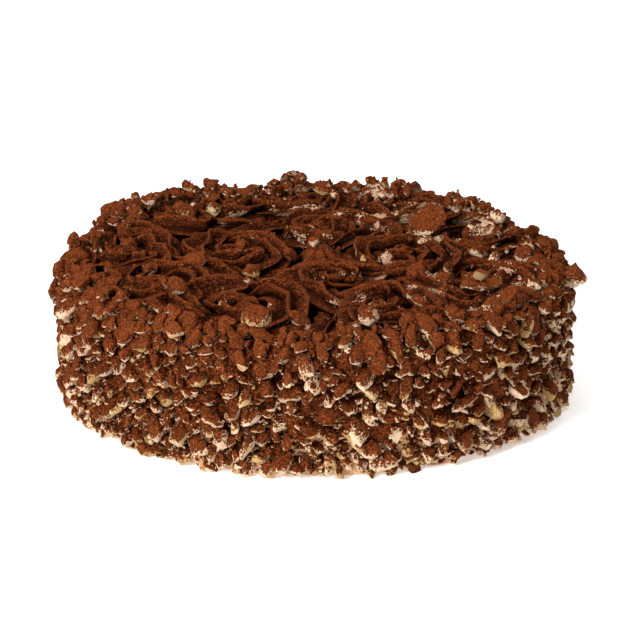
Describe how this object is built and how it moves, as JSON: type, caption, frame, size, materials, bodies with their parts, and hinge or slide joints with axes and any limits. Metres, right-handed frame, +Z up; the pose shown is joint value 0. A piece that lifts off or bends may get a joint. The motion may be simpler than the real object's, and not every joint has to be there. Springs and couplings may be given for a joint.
{
  "type": "chocolate torte",
  "caption": "Round chocolate torte: a cream-covered cake topped with piped cream rosettes, coated round the side with chopped nuts and dusted all over with cocoa.",
  "frame": {"origin": "middle of the flat base, on the surface the torte stands on", "axes": "+Z up; the torte has no marked front, and -Y is the side seen first"},
  "size_m": [0.2408, 0.2412, 0.0763],
  "materials": {
    "cream": "matte whipped cream, pinkish beige",
    "dusted_cream": "whipped cream under a matte, finely grained layer of cocoa powder",
    "nut_coat": "chopped nuts in cream, dusted with cocoa on top and bare underneath",
    "nut_piece": "broken nut, matte, dusted with cocoa on top, with pale bare sides"
  },
  "bodies": {
    "root": {"cake_drum": "cream", "nut_coat": "nut_coat", "rosette_01": "dusted_cream", "rosette_02": "dusted_cream", "rosette_03": "dusted_cream", "rosette_04": "dusted_cream", "rosette_05": "dusted_cream", "rosette_06": "dusted_cream", "rosette_07": "dusted_cream", "rosette_08": "dusted_cream", "rosette_09": "dusted_cream", "rosette_10": "dusted_cream", "rosette_11": "dusted_cream", "rosette_12": "dusted_cream", "rosette_13": "dusted_cream", "rosette_14": "dusted_cream", "centre_kiss": "dusted_cream", "nut_01": "nut_piece", "nut_02": "nut_piece", "nut_03": "nut_piece", "nut_04": "nut_piece", "nut_05": "nut_piece", "nut_06": "nut_piece", "nut_07": "nut_piece", "nut_08": "nut_piece", "nut_09": "nut_piece", "nut_10": "nut_piece", "nut_11": "nut_piece", "nut_12": "nut_piece", "nut_13": "nut_piece", "nut_14": "nut_piece", "nut_15": "nut_piece", "nut_16": "nut_piece", "nut_17": "nut_piece", "nut_18": "nut_piece", "nut_19": "nut_piece", "nut_20": "nut_piece", "nut_21": "nut_piece", "nut_22": "nut_piece", "nut_23": "nut_piece", "nut_24": "nut_piece", "nut_25": "nut_piece", "nut_26": "nut_piece", "nut_27": "nut_piece", "nut_28": "nut_piece", "nut_29": "nut_piece", "nut_30": "nut_piece", "nut_31": "nut_piece", "nut_32": "nut_piece", "nut_33": "nut_piece", "nut_34": "nut_piece", "nut_35": "nut_piece", "nut_36": "nut_piece", "nut_37": "nut_piece", "nut_38": "nut_piece", "nut_39": "nut_piece", "nut_40": "nut_piece", "nut_41": "nut_piece"}
  },
  "joints": []
}
